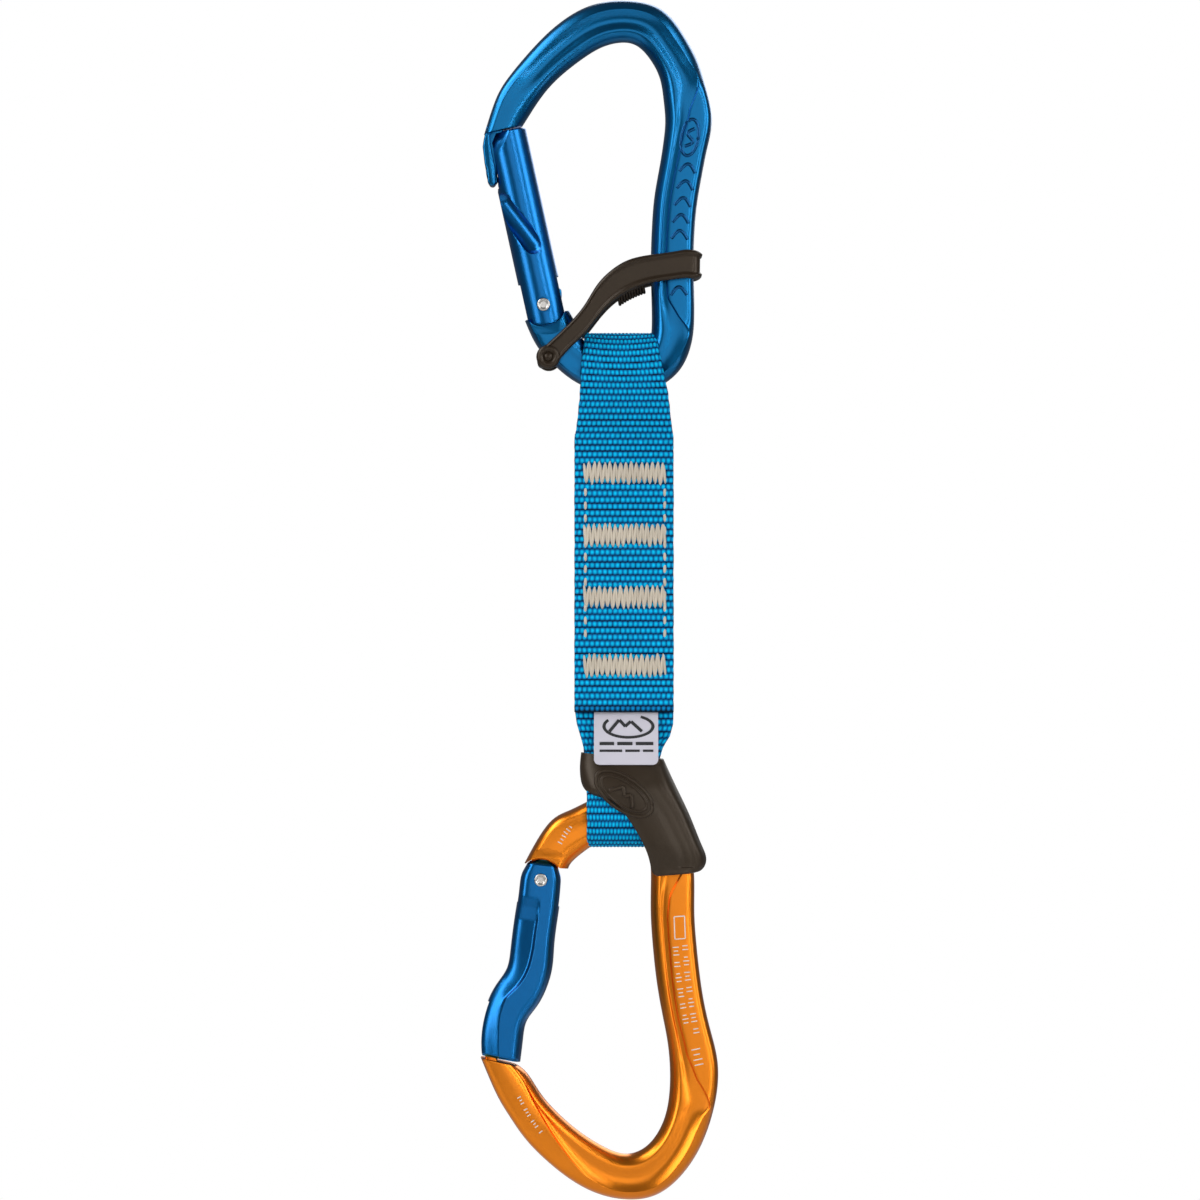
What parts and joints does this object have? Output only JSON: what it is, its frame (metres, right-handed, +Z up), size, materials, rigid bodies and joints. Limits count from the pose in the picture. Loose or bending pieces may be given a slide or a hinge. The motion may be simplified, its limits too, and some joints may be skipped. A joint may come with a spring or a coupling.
{
  "type": "climbing quickdraw",
  "caption": "Climbing quickdraw: straight-gate upper carabiner, sewn webbing sling, and bent-gate lower carabiner held by a moulded rubber keeper; sprung gates.",
  "frame": {"origin": "hanger seat: inside top of the upper carabiner, on the frames' middle plane", "axes": "+Z up along the hanging quickdraw, +X towards the spines, -Y towards the front face"},
  "size_m": [0.0595, 0.0176, 0.2998],
  "materials": {
    "anodised_blue_frame": "satin anodised, forged",
    "anodised_blue_gate": "satin anodised, turned",
    "anodised_orange": "satin anodised, forged",
    "rivet_steel": "stainless, pressed ends",
    "plunger_steel": "ground",
    "spring_steel": "wire, bright",
    "webbing_blue": "woven polyamide webbing",
    "thread_beige": "bonded sewing thread",
    "label_cloth": "woven satin label",
    "strap_rubber": "moulded, semi-matt",
    "keeper_rubber": "moulded, matt with embossing"
  },
  "bodies": {
    "upper_carabiner": {"upper_frame": "anodised_blue_frame", "upper_positioner": "strap_rubber"},
    "upper_gate": {"upper_gate": "anodised_blue_gate", "upper_gate_rivet": "rivet_steel", "upper_gate_spring": "spring_steel"},
    "upper_plunger": {"upper_gate_plunger": "plunger_steel"},
    "sling": {"sling_webbing": "webbing_blue", "sling_upper_loop": "webbing_blue", "sling_label": "label_cloth", "bartack_1": "thread_beige", "bartack_2": "thread_beige", "bartack_3": "thread_beige", "bartack_4": "thread_beige", "side_stitch_left": "thread_beige", "side_stitch_right": "thread_beige"},
    "lower_carabiner": {"lower_frame": "anodised_orange", "rubber_keeper": "keeper_rubber", "sling_lower_loop": "webbing_blue"},
    "lower_gate": {"lower_gate": "anodised_blue_gate", "lower_gate_rivet": "rivet_steel", "lower_gate_spring": "spring_steel"},
    "lower_plunger": {"lower_gate_plunger": "plunger_steel"}
  },
  "joints": [
    {"name": "upper_gate_hinge", "type": "hinge", "parent": "upper_carabiner", "child": "upper_gate", "pos_m": [-0.0193, 0, -0.0659], "axis": [0, 1, 0], "range_deg": [0, 42], "stiffness_Nm_per_rad": 0.25, "springref_deg": -40.11},
    {"name": "upper_plunger_slide", "type": "slide", "parent": "upper_gate", "child": "upper_plunger", "axis": [-0.2147, 0, 0.9767], "range_m": [0, 0.0013], "deforming": ["upper_gate_spring"]},
    {"name": "sling_swing", "type": "hinge", "parent": "upper_carabiner", "child": "sling", "pos_m": [0.0009, 0, -0.0835], "axis": [1, 0, 0], "range_deg": [-75, 75], "deforming": ["sling_upper_loop"]},
    {"name": "lower_fold", "type": "hinge", "parent": "sling", "child": "lower_carabiner", "pos_m": [0.00075, 0, -0.17575], "axis": [1, 0, 0], "range_deg": [-70, 70], "deforming": ["sling_label", "sling_lower_loop"]},
    {"name": "lower_gate_hinge", "type": "hinge", "parent": "lower_carabiner", "child": "lower_gate", "pos_m": [-0.02, 0, -0.20925], "axis": [0, -1, 0], "range_deg": [0, 44], "stiffness_Nm_per_rad": 0.25, "springref_deg": -40.11},
    {"name": "lower_plunger_slide", "type": "slide", "parent": "lower_gate", "child": "lower_plunger", "axis": [-0.1097, 0, -0.994], "range_m": [0, 0.0013], "deforming": ["lower_gate_spring"]}
  ],
  "couplings": [
    {"joint": "upper_plunger_slide", "follows": "upper_gate_hinge", "m_per_rad": 0.0016},
    {"joint": "lower_plunger_slide", "follows": "lower_gate_hinge", "m_per_rad": 0.0016}
  ]
}
